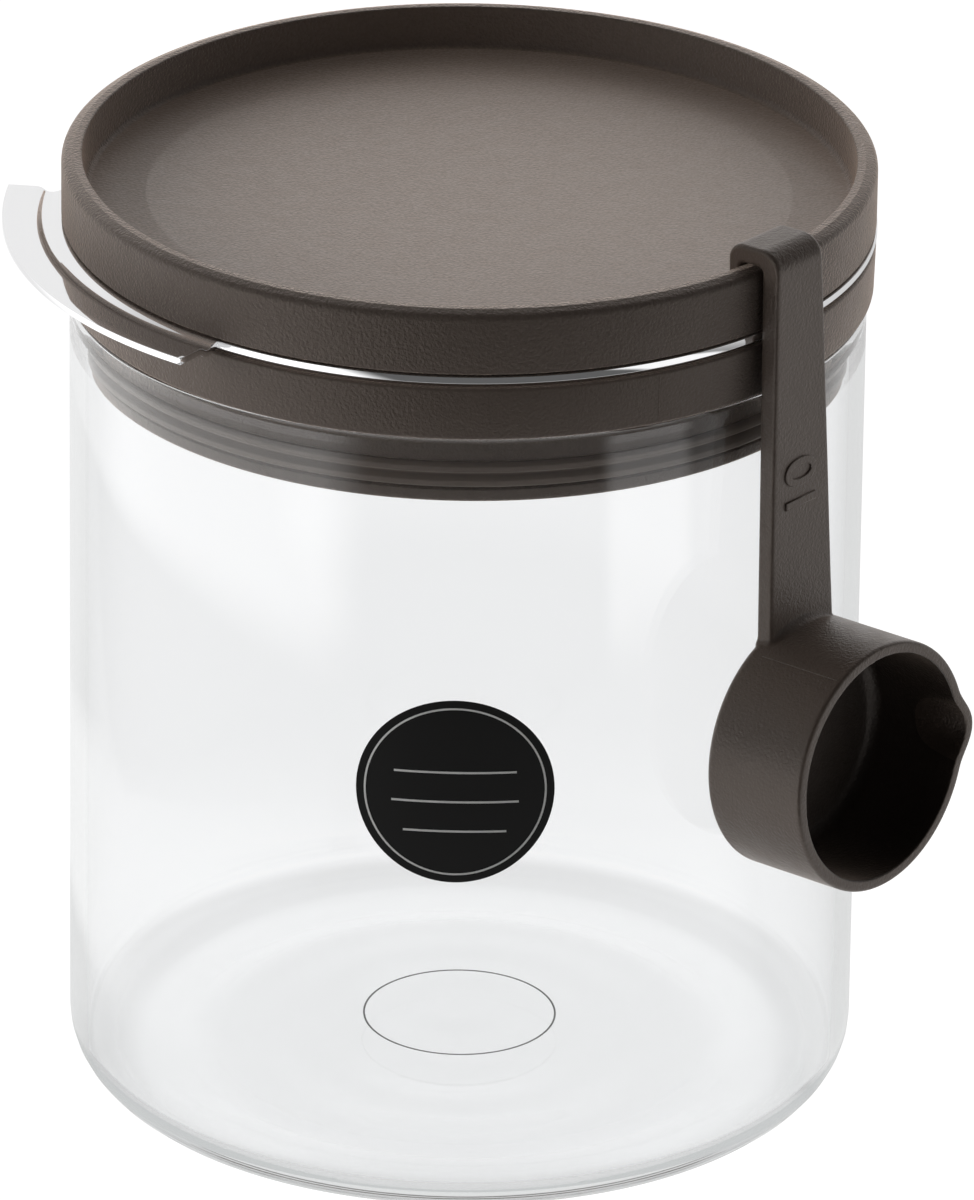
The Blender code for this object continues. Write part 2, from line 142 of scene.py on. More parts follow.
def turned(outline, closed=False, steps=ROUND_STEPS):
    """Spin an outline of (radius, height) points round the jar's axis."""
    shape = bmesh.new()
    rings = []
    for point in outline:
        if point.x < 1e-6:
            rings.append([shape.verts.new((0, 0, point.y))] * steps)
            continue
        rings.append([shape.verts.new(around(point.x, 2 * math.pi * step / steps, point.y))
                      for step in range(steps)])
    if closed:
        rings.append(rings[0])
    join_rings(shape, zip(rings, rings[1:]))
    return shape


def skin(shape, rings):
    """Join rings of points to a tube with a face at each end."""
    join_rings(shape, zip(rings, rings[1:]))
    shape.faces.new(rings[0])
    shape.faces.new(rings[-1])


def dress(piece, body, slot, *nodes):
    """Let a piece ride on a body and stand for its solids; the finish's slot is not used."""
    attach(piece, body)
    if nodes:
        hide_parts(*nodes)
    print(piece.name, "has", len(piece.data.vertices), "points")
    return piece


print("a square corner of 2 mm becomes", len(arcs([(0, 0, 0), (9, 0, 2.0), (9, 9, 0)])), "outline points")

# %% [markdown]
# ## Small tools for node trees
# Adding each node and link by hand takes many lines, so a few functions take that up: one adds a node
# with plain values, the others do one step of arithmetic in a node tree and give back its result.

# %% Helpers for nodes
def add_node(tree, kind, operation=None, **values):
    """A new shader node with plain values on its named inputs."""
    node = tree.nodes.new("ShaderNode" + kind)
    if operation:
        node.operation = operation
    for label, value in values.items():
        node.inputs[label].default_value = value
    return node


def feed(tree, value, socket):
    """Give an input its value, which is a plain number or the socket that it comes from."""
    if isinstance(value, float):
        socket.default_value = value
    else:
        tree.links.new(value, socket)


def combine(tree, operation, first, second):
    """One arithmetic step on two values."""
    step = add_node(tree, "Math", operation)
    feed(tree, first, step.inputs[0])
    feed(tree, second, step.inputs[1])
    return step.outputs[0]


def ramp(tree, value, low, high, at_low, at_high, smooth=True):
    """Change from one level to another while a value goes from low to high."""
    step = add_node(tree, "MapRange")
    if smooth:
        step.interpolation_type = "SMOOTHSTEP"
    for label, number in (("From Min", low), ("From Max", high), ("To Min", at_low), ("To Max", at_high)):
        step.inputs[label].default_value = number
    tree.links.new(value, step.inputs["Value"])
    return step.outputs["Result"]


def choose(tree, switch, off, on):
    """Go from one value to another by a switch between 0 and 1."""
    pick = add_node(tree, "Mix")
    pick.data_type = "FLOAT"
    tree.links.new(switch, pick.inputs["Factor"])
    feed(tree, off, pick.inputs["A"])
    feed(tree, on, pick.inputs["B"])
    return pick.outputs["Result"]


def vector_step(tree, operation, vector, other=None):
    """One step on a vector; other is a plain vector. The node has a vector and a value output."""
    step = add_node(tree, "VectorMath", operation)
    tree.links.new(vector, step.inputs[0])
    if other is not None:
        step.inputs[1].default_value = other
    return step.outputs


def object_place(tree):
    """A point's place in its piece, which moves with the piece and not with the camera."""
    return add_node(tree, "TexCoord").outputs["Object"]


def new_material(name, **plain):
    """A material and its Principled shader, with plain values set on the shader; _ stands for a space."""
    material = bpy.data.materials.new(name)
    material.use_nodes = True
    shader = material.node_tree.nodes["Principled BSDF"]
    for label, value in plain.items():
        shader.inputs[label.replace("_", " ")].default_value = value
    return material, shader


print("node helpers ready, for Blender", bpy.app.version_string)

# %% [markdown]
# ## Grain for moulded plastic
# The lid and the spoon come out of a mould whose steel was spark-eroded, which leaves a fine pebbled
# grain. Four materials use it with different depths, so it is one node group. It puts out a height for
# bump, a faint speckle for the colour and a mask for the roughness.

# %% The grain group
CLOUD_SHARE = 0.16


def grain_group():
    group = bpy.data.node_groups.new("Pebble grain", "ShaderNodeTree")
    for label, kind, value in (("Fineness", "NodeSocketFloat", 3000.0), ("Speckle", "NodeSocketFloat", 0.1)):
        socket = group.interface.new_socket(label, in_out="INPUT", socket_type=kind)
        socket.default_value = value
    group.interface.new_socket("Vector", in_out="INPUT", socket_type="NodeSocketVector")
    for label in ("Height", "Tone", "Gloss"):
        group.interface.new_socket(label, in_out="OUTPUT", socket_type="NodeSocketFloat")
    inputs = group.nodes.new("NodeGroupInput").outputs
    outputs = group.nodes.new("NodeGroupOutput").inputs
    pebbles = add_node(group, "TexNoise", Detail=2.0, Roughness=0.6)
    clouds = add_node(group, "TexNoise", Detail=3.0)
    for noise in (pebbles, clouds):
        feed(group, inputs["Vector"], noise.inputs["Vector"])
    feed(group, inputs["Fineness"], pebbles.inputs["Scale"])
    feed(group, combine(group, "MULTIPLY", inputs["Fineness"], CLOUD_SHARE), clouds.inputs["Scale"])
    speck = combine(group, "SUBTRACT", pebbles.outputs["Fac"], 0.5)
    tone = combine(group, "ADD", combine(group, "MULTIPLY", speck, inputs["Speckle"]), 1.0)
    feed(group, pebbles.outputs["Fac"], outputs["Height"])
    feed(group, tone, outputs["Tone"])
    feed(group, clouds.outputs["Fac"], outputs["Gloss"])
    return group


grain = grain_group()
print("group outputs:", [socket.name for socket in grain.interface.items_tree if socket.in_out == "OUTPUT"])

# %% [markdown]
# ## The plastic
# A satin, warm grey-brown moulded plastic. A flat colour with a plain shine would look like paint; the
# grain breaks the shine up, and a warm sheen stands for the light that its fine peaks scatter at low
# angles, so faces seen at a slant look paler and browner. The tray's top has the deepest grain, the
# spoon the shallowest. The soft ring uses the same recipe with a smoother, paler setting.

# %% Plastic material
TAUPE = (0.089, 0.069, 0.057)
WARM_SHINE = (1.0, 0.90, 0.83, 1.0)
WARM_SHEEN = (1.0, 0.79, 0.66, 1.0)
GLOSS_SPREAD = 0.05
CLOUD_SPAN = (0.3, 0.7)


def grain_node(tree, fineness, speckle):
    """The grain group, placed in a material with its own fineness and speckle."""
    texture = add_node(tree, "Group")
    texture.node_tree = grain
    texture.inputs["Fineness"].default_value = fineness
    texture.inputs["Speckle"].default_value = speckle
    feed(tree, object_place(tree), texture.inputs["Vector"])
    return texture.outputs


def taupe_plastic(name, fineness, depth, speckle, roughness, taupe=TAUPE, sheen=1.0, shine=0.5):
    """Grained plastic; fineness is per metre, depth in millimetres, sheen and shine are plain levels."""
    material, shader = new_material(name, IOR=1.5, Specular_IOR_Level=shine, Specular_Tint=WARM_SHINE,
                                    Sheen_Weight=sheen, Sheen_Roughness=0.35, Sheen_Tint=WARM_SHEEN)
    tree = material.node_tree
    texture = grain_node(tree, fineness, speckle)
    colour = add_node(tree, "VectorMath", "SCALE")
    colour.name = "plastic colour"
    colour.inputs[0].default_value = taupe
    feed(tree, texture["Tone"], colour.inputs["Scale"])
    feed(tree, colour.outputs[0], shader.inputs["Base Color"])
    smoothest, roughest = roughness - GLOSS_SPREAD, roughness + GLOSS_SPREAD
    gloss = ramp(tree, texture["Gloss"], *CLOUD_SPAN, smoothest, roughest, smooth=False)
    feed(tree, gloss, shader.inputs["Roughness"])
    bump = add_node(tree, "Bump", Distance=depth * MM, Strength=1.0)
    bump.name = "grain bump"
    feed(tree, texture["Height"], bump.inputs["Height"])
    feed(tree, bump.outputs[0], shader.inputs["Normal"])
    return material


LIT_FLOOR_FROM = 47.3
LIT_FLOOR_TO = 48.0


def floor_painted_lighter(material, paler=1.8, coarse=2500.0, speckle=1.5, shallower=0.45):
    """Give the inside of the tray its own shallower grain and a colour painted paler than the walls: painted light
    on the floor, which faces up to the light.
    """
    tree = material.node_tree
    flat = vector_step(tree, "MULTIPLY", object_place(tree), (1.0, 1.0, 0.0))[0]
    reach = vector_step(tree, "LENGTH", flat)["Value"]
    inside = ramp(tree, reach, LIT_FLOOR_FROM * MM, LIT_FLOOR_TO * MM, 1.0, 0.0, smooth=False)
    pebbles = grain_node(tree, coarse, speckle)
    # painted light: the floor's colour is made paler than the walls', for the light falling on the up-facing floor
    painted_lit = combine(tree, "MULTIPLY", pebbles["Tone"], paler)
    shallow = combine(tree, "MULTIPLY", pebbles["Height"], shallower)
    for inner, target in ((painted_lit, tree.nodes["plastic colour"].inputs["Scale"]),
                          (shallow, tree.nodes["grain bump"].inputs["Height"])):
        walls = target.links[0].from_socket
        feed(tree, choose(tree, inside, walls, inner), target)
    return material


tray_plastic = floor_painted_lighter(taupe_plastic("tray plastic", 2500.0, 0.17, 0.6, 0.47))
plug_plastic = taupe_plastic("plug plastic", 2600.0, 0.13, 0.4, 0.44)
spoon_plastic = taupe_plastic("spoon plastic", 2500.0, 0.10, 0.35, 0.36,
                              taupe=(0.078, 0.059, 0.048), sheen=0.22, shine=0.62)
silicone = taupe_plastic("soft ring silicone", 900.0, 0.004, 0.1, 0.36, taupe=(0.135, 0.107, 0.089), sheen=0.3)
print("plastics:", tray_plastic.name, plug_plastic.name, spoon_plastic.name, silicone.name)

# %% [markdown]
# ## Clear glass
# Clear glass is a Principled shader with full transmission. Cycles would let it throw a black shadow,
# because light that bends through glass is costly to trace, so shadow rays pass through a Transparent
# shader instead. So do rays that were already mirrored twice inside the wall, which would otherwise run
# out of bounces and draw black lines in the base.

# %% Glass material
GLASS_TINT = (0.988, 0.992, 0.996, 1.0)
PASS_TINT = (0.96, 0.97, 0.97, 1.0)
OFTEN = 1.5


def clear_glass(name):
    material, shader = new_material(name, Base_Color=GLASS_TINT, Roughness=0.0, IOR=1.47, Transmission_Weight=1.0)
    tree = material.node_tree
    through = add_node(tree, "BsdfTransparent", Color=PASS_TINT)
    rays = add_node(tree, "LightPath").outputs
    deep = combine(tree, "GREATER_THAN", rays["Glossy Depth"], OFTEN)
    choice = add_node(tree, "MixShader")
    feed(tree, combine(tree, "MAXIMUM", rays["Is Shadow Ray"], deep), choice.inputs["Fac"])
    feed(tree, shader.outputs[0], choice.inputs[1])
    feed(tree, through.outputs[0], choice.inputs[2])
    feed(tree, choice.outputs[0], tree.nodes["Material Output"].inputs["Surface"])
    return material


glass = clear_glass("clear glass")
print("glass ready:", glass.name)

# %% [markdown]
# ## Polished sheet steel
# The band is stainless sheet with a mirror polish. A perfect mirror looks computer-made, so very long
# soft ripples, as rolling leaves them, bend the reflections a little, and the same ripples vary the
# gloss. The colour is a plain value on the shader, as bare steel has no pattern of its own.

# %% Steel material
def polished_steel(name):
    material, shader = new_material(name, Base_Color=(0.87, 0.87, 0.875, 1.0), Metallic=1.0)
    tree = material.node_tree
    ripple = add_node(tree, "TexNoise", Scale=60.0, Detail=1.0)
    feed(tree, object_place(tree), ripple.inputs["Vector"])
    gloss = ramp(tree, ripple.outputs["Fac"], 0.0, 1.0, 0.02, 0.06, smooth=False)
    feed(tree, gloss, shader.inputs["Roughness"])
    bump = add_node(tree, "Bump", Distance=0.02 * MM)
    feed(tree, ripple.outputs["Fac"], bump.inputs["Height"])
    feed(tree, bump.outputs[0], shader.inputs["Normal"])
    return material


steel = polished_steel("polished steel")
print("steel ready:", steel.name)

# %% [markdown]
# ## Printing ink
# The jar has a dark write-on disc on its front and a thin ring on its base. Ink is a thin matte film,
# slightly uneven, so the colour and the roughness wander a little.

# %% Ink materials
def ink(name, colour, roughness, shine):
    material, shader = new_material(name, Specular_IOR_Level=shine)
    tree = material.node_tree
    patches = add_node(tree, "TexNoise", Scale=700.0, Detail=3.0)
    feed(tree, object_place(tree), patches.inputs["Vector"])
    shade = add_node(tree, "VectorMath", "SCALE")
    shade.inputs[0].default_value = colour
    feed(tree, ramp(tree, patches.outputs["Fac"], 0.0, 1.0, 0.85, 1.15, smooth=False), shade.inputs["Scale"])
    feed(tree, shade.outputs[0], shader.inputs["Base Color"])
    gloss = ramp(tree, patches.outputs["Fac"], 0.0, 1.0, roughness - 0.06, roughness + 0.06, smooth=False)
    feed(tree, gloss, shader.inputs["Roughness"])
    return material


black_ink = ink("black ink", (0.004, 0.0038, 0.0036), 0.5, 0.2)
white_ink = ink("white ink", (0.8, 0.8, 0.78), 0.5, 0.5)
grey_ink = ink("grey ink", (0.03, 0.028, 0.026), 0.5, 0.3)
print("inks:", black_ink.name, white_ink.name, grey_ink.name)

# %% [markdown]
# ## The glass
# A straight beaker. It could be a cylinder with a Solidify modifier, but the wall would then have the
# same thickness everywhere. Real beakers have a rim that was melted round in the flame and is a little
# thicker, and a base that is thicker in the middle and faintly wavy, so the whole section is drawn.
# The underside is a third of a millimetre hollow, so that the jar stands on a ring and doesn't rock.

# %% Glass jar
RIM_BEAD = 0.12
WAVE = 0.035
PUNT = 0.3
WAVE_LENGTH = 9.0
OUTER_CORNER = 7.2
INNER_CORNER = 5.4
FLOOR_EDGE = 3.6
CROWN = 2.0
FLOOR_RINGS = 40


def glass_floor():
    """Crowned inner floor from its edge to the centre, with faint rings left by the forming."""
    edge = GLASS_IN - INNER_CORNER
    points = []
    for step in range(1, FLOOR_RINGS + 1):
        radius = edge * (1 - step / FLOOR_RINGS)
        crown = FLOOR_EDGE + CROWN * (1 - (radius / edge) ** 2)
        points.append((radius, crown + WAVE * math.sin(2 * math.pi * radius / WAVE_LENGTH), 0))
    return points


def glass_section():
    corners = [
        (0, PUNT, 0), (20, PUNT, 0), (32.0, PUNT, 5.0), (35.2, 0, 3.0), (GLASS_OUT, 0, OUTER_CORNER),
        (GLASS_OUT, 20, 0), (GLASS_OUT, 60, 0), (GLASS_OUT, GLASS_TOP - 3.0, 0.8),
        (GLASS_OUT + RIM_BEAD, GLASS_TOP - 1.6, 0.8), (GLASS_OUT + RIM_BEAD, GLASS_TOP, 1.0),
        (GLASS_IN - 0.05, GLASS_TOP, 1.0), (GLASS_IN - 0.05, GLASS_TOP - 1.6, 0.8),
        (GLASS_IN, GLASS_TOP - 3.0, 0.8), (GLASS_IN, 60, 0), (GLASS_IN, 20, 0),
        (GLASS_IN, FLOOR_EDGE, INNER_CORNER),
    ]
    return arcs(corners + glass_floor())


jar = finish_mesh("jar_glass", turned(glass_section()), glass, crease=80.0)
dress(jar, "jar", "glass", "glass_jar")
print("floor of the glass", FLOOR_EDGE, "to", FLOOR_EDGE + CROWN, "mm thick, wall", round(GLASS_OUT - GLASS_IN, 2))

# %% [markdown]
# ## Prints on the glass
# The disc on the front follows the curve of the glass. A flat disc could be wrapped on with a
# Shrinkwrap modifier, but a print is easier to draw straight on the cylinder: distance along the
# surface becomes an angle. Each print is a film with a real thickness, so it is a closed solid.

# %% Printed disc and ring
PRINT_HEIGHT = 60.0
PRINT_TURN = math.radians(-1.0)
FILM = 0.04
OVERPRINT = 0.055
DISC_ROUND = 12.4
TRIM_FROM, TRIM_TO = 11.15, 11.4
LINES = ((2.6, 7.6), (-1.4, 7.9), (-5.4, 6.4))
LINE_HIGH = 0.28


def on_glass(along, up, out):
    """A point on the front of the jar, by distance along the surface and height."""
    return around(GLASS_OUT + out, PRINT_TURN + along / GLASS_OUT, PRINT_HEIGHT + up)


def printed_ring(name, inner, outer, lift, material, steps=96, bands=6):
    """A disc or ring of film on the glass; inner is 0 for a full disc."""
    shape = bmesh.new()
    angles = [2 * math.pi * step / steps for step in range(steps)]
    shells = []
    for out in (lift, lift + FILM):
        rings = []
        for band in range(bands + 1):
            radius = inner + (outer - inner) * band / bands
            if radius == 0:
                rings.append([shape.verts.new(on_glass(0, 0, out))] * steps)
                continue
            rings.append([shape.verts.new(on_glass(radius * math.cos(angle), radius * math.sin(angle), out))
                          for angle in angles])
        join_rings(shape, zip(rings, rings[1:]))
        shells.append(rings)
    edges = (-1,) if inner == 0 else (0, -1)
    join_rings(shape, [(shells[0][edge], shells[1][edge]) for edge in edges])
    return finish_mesh(name, shape, material)


def printed_bar(name, left, right, up, height, lift, material, steps=24):
    """A straight printed line on the glass."""
    shape = bmesh.new()
    rows = []
    for step in range(steps + 1):
        along = left + (right - left) * step / steps
        rows.append([shape.verts.new(on_glass(along, up + side * height / 2, out))
                     for side, out in ((-1, lift), (1, lift), (1, lift + FILM), (-1, lift + FILM))])
    skin(shape, rows)
    return finish_mesh(name, shape, material)


dress(printed_ring("write_on_disc", 0.0, DISC_ROUND, 0.01, black_ink), "jar", None)
dress(printed_ring("write_on_trim", TRIM_FROM, TRIM_TO, OVERPRINT, white_ink, bands=1), "jar", None)
for index, (up, half) in enumerate(LINES):
    line = printed_bar(f"write_on_line_{index + 1}", -half, half, up, LINE_HIGH, OVERPRINT, white_ink)
    dress(line, "jar", None)

# %% [markdown]
# ## The ring on the base
# A thin grey ring is fired on the floor inside the jar, near the top of its crown. It is turned like
# the glass, with a flat section of four corners, so it is a closed film as well.

# %% Ring on the base
RING_FROM, RING_TO = 12.14, 12.38
RING_LOW, RING_HIGH = 5.46, 5.5
ring_outline = arcs([(RING_FROM, RING_LOW, 0), (RING_TO, RING_LOW, 0), (RING_TO, RING_HIGH, 0),
                     (RING_FROM, RING_HIGH, 0)], closed=True)
dress(finish_mesh("base_ring", turned(ring_outline, closed=True), grey_ink), "jar", None)

# %% [markdown]
# ## The plug and its collar
# One moulding: a collar that stands on the glass and a hollow plug below it, with a groove for the soft
# ring. The collar's outer edges have small radii, which catch the light as fine lines.

# %% Plug
def plug_section():
    bead_low, bead_high = 111.7, 113.3
    return arcs([
        (0, PLUG_LOW, 0), (30, PLUG_LOW, 0), (47.2, PLUG_LOW, 0.6), (47.2, GROOVE_LOW, 0.12),
        (GROOVE_IN, GROOVE_LOW, 0), (GROOVE_IN, GROOVE_HIGH, 0), (46.8, GROOVE_HIGH, 0.15),
        (46.8, COLLAR_LOW, 0.4), (COLLAR_OUT, COLLAR_LOW, 0.5), (LID_OUT, COLLAR_HIGH, 0.3),
        (50.0, COLLAR_HIGH, 0), (50.0, 115.2, 0.15), (48.2, 115.2, 0.15), (48.2, 109.5, 0.4),
        (GROOVE_IN, 109.5, 0.4), (GROOVE_IN, bead_low, 0), (44.4, bead_low + 0.5, 0),
        (44.4, bead_high - 0.5, 0), (GROOVE_IN, bead_high, 0), (GROOVE_IN, 117.2, 0.2),
        (43.1, 117.2, 0.2), (43.1, 99.8, 1.0), (0, 99.8, 0),
    ], steps=5)


dress(finish_mesh("plug_collar", turned(plug_section()), plug_plastic), "lid", "taupe_plastic", "lid_plug")

# %% [markdown]
# ## The soft ring
# A silicone ring with two rounded lips. The lips bend against the mouth of the glass and seal it, and
# through the glass they show as light and dark bands.

# %% Soft ring
def ring_section():
    inner, root, lip = 45.1, 46.75, 47.62
    return arcs([
        (inner, 100.1, 0.1), (root, 100.1, 0.15), (lip, 100.5, 0.3), (lip, 101.25, 0.3), (root, 101.75, 0.2),
        (root, 102.0, 0.2), (lip, 102.35, 0.3), (lip, 103.1, 0.3), (root, 103.4, 0.15), (inner, 103.4, 0.1),
    ], closed=True, steps=5)


dress(finish_mesh("soft_ring", turned(ring_section(), closed=True), silicone), "lid", "silicone", "gasket")

# %% [markdown]
# ## The steel band
# A washer of sheet steel between collar and tray. Its edge shows as a bright line all round, and one
# sector reaches out as a lift tab with a valley and a flat flange. The top surface is drawn and a
# Solidify modifier gives it the sheet's thickness. A Bevel modifier rounds the edges by a third of a
# millimetre, as tumbled sheet has them; that is what makes the thin bright line with darker borders.

# %% Steel band
BAND_OUT = 51.1
BAND_IN = 47.1
SHEET = 0.9
EDGE_ROUND = 0.30
TAB_FROM = -97.5
TAB_TO = -36.8
VALLEY_DEEP = 0.5
VALLEY_LONG = 1.7
FLANGE_RISE = (2.05, 2.55, 3.65)
FLANGE_SLOPE = 0.8


def tab_level(reach):
    """Height of the tab over the band, at a distance outside the band's edge."""
    if reach <= VALLEY_LONG:
        return -VALLEY_DEEP / 2 * (1 - math.cos(math.pi * reach / VALLEY_LONG))
    start, steepest, end = FLANGE_RISE
    if reach <= start:
        return -VALLEY_DEEP
    low_part = min(reach, steepest) - start
    level = -VALLEY_DEEP + FLANGE_SLOPE * low_part ** 2 / (2 * (steepest - start))
    if reach > steepest:
        left = end - min(reach, end)
        level += FLANGE_SLOPE * ((end - steepest) ** 2 - left ** 2) / (2 * (end - steepest))
    return level


def band_surface():
    sheet = bmesh.new()
    tab_steps, rest_steps = 96, 300
    angles = [TAB_FROM + (TAB_TO - TAB_FROM) * step / tab_steps for step in range(tab_steps)]
    angles += [TAB_TO + (360 + TAB_FROM - TAB_TO) * step / rest_steps for step in range(rest_steps)]

    def ring_at(radius, height, picked):
        return [sheet.verts.new(around(radius, math.radians(angle), height)) for angle in picked]

    def join(first, second, closed):
        count = len(first)
        for index in range(count if closed else count - 1):
            after = (index + 1) % count
            sheet.faces.new((first[index], second[index], second[after], first[after]))

    bore = ring_at(BAND_IN, BAND_TOP, angles)
    edge = ring_at(BAND_OUT, BAND_TOP, angles)
    join(bore, edge, True)
    inner = edge[:tab_steps + 1]
    reaches = [0.15 * step for step in range(1, 28)] + [5.0, 6.0, 7.3]
    for reach in reaches:
        outer = ring_at(BAND_OUT + reach, BAND_TOP + tab_level(reach), angles[:tab_steps + 1])
        join(inner, outer, False)
        inner = outer
    for face in sheet.faces:
        face.normal_update()
        if face.normal.z < 0:
            face.normal_flip()
    return sheet


def applied(piece):
    """Keep what the modifiers make as the piece's own mesh."""
    seen = piece.evaluated_get(bpy.context.evaluated_depsgraph_get())
    mesh = bpy.data.meshes.new_from_object(seen)
    piece.modifiers.clear()
    piece.data = mesh
    return piece


def steel_sheet():
    sheet = band_surface()
    bmesh.ops.scale(sheet, verts=sheet.verts, vec=(MM, MM, MM))
    washer = add_object("steel_washer", mesh_from("steel_washer", sheet))
    washer.data.materials.append(steel)
    thick = washer.modifiers.new("sheet", "SOLIDIFY")
    thick.thickness = SHEET * MM
    thick.offset = -1.0
    edges = washer.modifiers.new("edges", "BEVEL")
    edges.width = EDGE_ROUND * MM
    edges.harden_normals = True
    edges.segments = 4
    edges.limit_method = "ANGLE"
    edges.angle_limit = math.radians(50)
    applied(washer)
    washer.data.shade_smooth()
    washer.data.set_sharp_from_angle(angle=math.radians(40))
    return washer


dress(steel_sheet(), "lid", "polished_steel", "steel_band")

# %% [markdown]
# ## The tray
# The top of the lid is a shallow tray. Its rim has a rounded shoulder that ends in a crisp line before
# the narrow flat top. Below, out of sight, are the ribs and the clip ring that snaps into the plug.

# %% Tray
def tray_section():
    return arcs([
        (0, TRAY_UNDER, 0), (45.2, TRAY_UNDER, 0.2), (45.2, 113.1, 0), (44.7, 112.6, 0.1), (44.7, 112.15, 0.1),
        (45.2, 111.9, 0.1), (46.6, 111.9, 0.2), (46.6, TRAY_UNDER, 0.2), (48.7, TRAY_UNDER, 0.3),
        (48.7, TRAY_LOW, 0.15), (LID_OUT, TRAY_LOW, 0.3), (LID_OUT, RIM_TOP - 0.5, 0.95), (49.5, RIM_TOP, 0.06),
        (48.4, RIM_TOP, 0.25), (48.1, TRAY_FLOOR_TOP, 0.9), (40, TRAY_FLOOR_TOP, 0), (20, TRAY_FLOOR_TOP, 0),
        (0, TRAY_FLOOR_TOP, 0),
    ], steps=6)


def rib_bars():
    """The six ribs under the tray's floor, as one mesh that is fused with the tray."""
    bars = bmesh.new()
    length, depth = 33.6, 3.3
    for index in range(6):
        box = bmesh.ops.create_cube(bars, size=1.0)["verts"]
        bmesh.ops.scale(bars, verts=box, vec=(length, 1.2, depth))
        bmesh.ops.translate(bars, verts=box, vec=(8 + length / 2, 0, TRAY_UNDER + 0.9 - depth / 2))
        bmesh.ops.rotate(bars, verts=box, cent=(0, 0, 0), matrix=Matrix.Rotation(math.pi * index / 3, 3, "Z"))
    return finish_mesh("rib_bars", bars, tray_plastic)


def fuse(piece, other, operation="UNION"):
    """Combine another mesh with a piece, and remove the other."""
    step = piece.modifiers.new("fuse", "BOOLEAN")
    step.operation = operation
    step.solver = "EXACT"
    step.object = other
    applied(piece)
    bpy.data.objects.remove(other)
    return piece


tray = fuse(finish_mesh("tray_top", turned(tray_section()), tray_plastic), rib_bars())
tray.data.set_sharp_from_angle(angle=math.radians(32))
dress(tray, "lid", "taupe_plastic", "lid_tray")

# %% [markdown]
# ## The measuring spoon
# Hook, handle and cup are one moulding, so their meeting lines are soft. The handle is a strip lofted
# along its side view, the cup is a turned drum with a pouring lip pressed out of its wall, and a bead
# rounds the corner between them. A voxel Remesh melts the three into one skin, and a light smoothing
# gives every edge the small radius that a mould has.

# %% Spoon sizes and handle
SPOON_TURN = 49.0
SPOON_LEAN = 2.2
HANDLE_CLEAR = 0.3
CUP_OUT = 16.1
CUP_BORE = 14.6
CUP_LONG = 15.2
CUP_DROP = 63.5
HOOK_SLOT = 3.7
HOOK_SEAT = 0.4
HOOK_TOP = 2.75
HOOK_THICK = 1.7
HOOK_TIP = -3.0
TIP_SOFT = 0.5
HANDLE_THICK = 2.7
HANDLE_FOOT = 2.35
FOOT_LEFT = 1.0
FOOT_RIGHT = 0.9
VOXEL = 0.17
HANDLE_WIDE = 8.5
HANDLE_FLARE = 0.0745
EDGE_SOFT = 0.4
EDGE_STEPS = 4


def handle_sides():
    """Convex and concave side of hook and handle as (outward, up) points."""
    leg = -HOOK_SLOT - HOOK_THICK
    blunt = HOOK_TIP + TIP_SOFT
    foot = CUP_OUT - CUP_DROP
    stations = [foot + 4.0 - 0.35 * step for step in range(21)]
    convex = [(leg + TIP_SOFT, HOOK_TIP, 0), (leg, blunt, 0), (leg, HOOK_TOP, 2.2), (HANDLE_THICK, HOOK_TOP, 2.8)]
    concave = [(-HOOK_SLOT - TIP_SOFT, HOOK_TIP, 0), (-HOOK_SLOT, blunt, 0), (-HOOK_SLOT, HOOK_SEAT, 0.8),
               (0, HOOK_SEAT, 0.8)]
    convex += [(HANDLE_FOOT, up, 0) for up in stations]
    concave += [(0, up, 0) for up in stations]
    return arcs(convex, steps=10), arcs(concave, steps=10)


def handle_half(up, side):
    """Half the handle's width at a height; a round fillet leads each edge into the drum."""
    half = (HANDLE_WIDE - HANDLE_FLARE * min(up, 0.0)) / 2
    fillet = FOOT_LEFT if side < 0 else FOOT_RIGHT
    edge = half + fillet
    centre = math.sqrt((CUP_OUT + fillet) ** 2 - edge ** 2) - CUP_DROP
    touch = (centre + CUP_DROP) * CUP_OUT / (CUP_OUT + fillet) - CUP_DROP
    if up >= centre:
        return half
    bow = math.sqrt(fillet ** 2 - (centre - max(up, touch)) ** 2)
    return edge - bow - 0.8 * max(touch - up, 0.0)


def handle_mesh():
    strip = bmesh.new()
    rings = []
    for front, back in zip(*handle_sides()):
        across = (front - back).normalized()
        up = (front.y + back.y) / 2
        depth = (front - back).length
        ring = []
        for corner in range(4):
            side = -1 if corner in (0, 3) else 1
            half = handle_half(up, side)
            at_front = corner < 2
            for turn in range(EDGE_STEPS + 1):
                angle = math.pi / 2 * (corner + turn / EDGE_STEPS)
                wide = side * (half - EDGE_SOFT) - EDGE_SOFT * math.cos(angle)
                deep = (depth - EDGE_SOFT if at_front else EDGE_SOFT) + EDGE_SOFT * math.sin(angle)
                point = back + across * deep
                ring.append(strip.verts.new((point.x, wide, point.y)))
        rings.append(ring)
    skin(strip, rings)
    return raw_object("handle_strip", strip)


def raw_object(name, shape):
    """A helper mesh that stays in millimetres until the spoon is whole."""
    bmesh.ops.recalc_face_normals(shape, faces=shape.faces)
    return add_object(name, mesh_from(name, shape))


print("handle outline:", len(handle_sides()[0]), "stations,", HANDLE_WIDE, "mm wide at the top")

# %% [markdown]
# ## The cup and its pouring lip
# A drum with its mouth turned outwards and a small beak at its side. The beak could be pulled out with
# a proportional edit, but by hand it is hard to repeat. Here every ring of the wall is stretched by a
# formula of the angle and the depth, and the bore gets the same push, so the wall keeps its thickness.
# A bead with a round hollow fills the corner where the handle's face meets the drum.

# %% Cup with its pouring lip
LIP_OUT = 1.72
LIP_ANGLE = 19.5
LIP_LONG = 8.5
CUP_FLOOR = 1.6
WALL_STEPS = 10


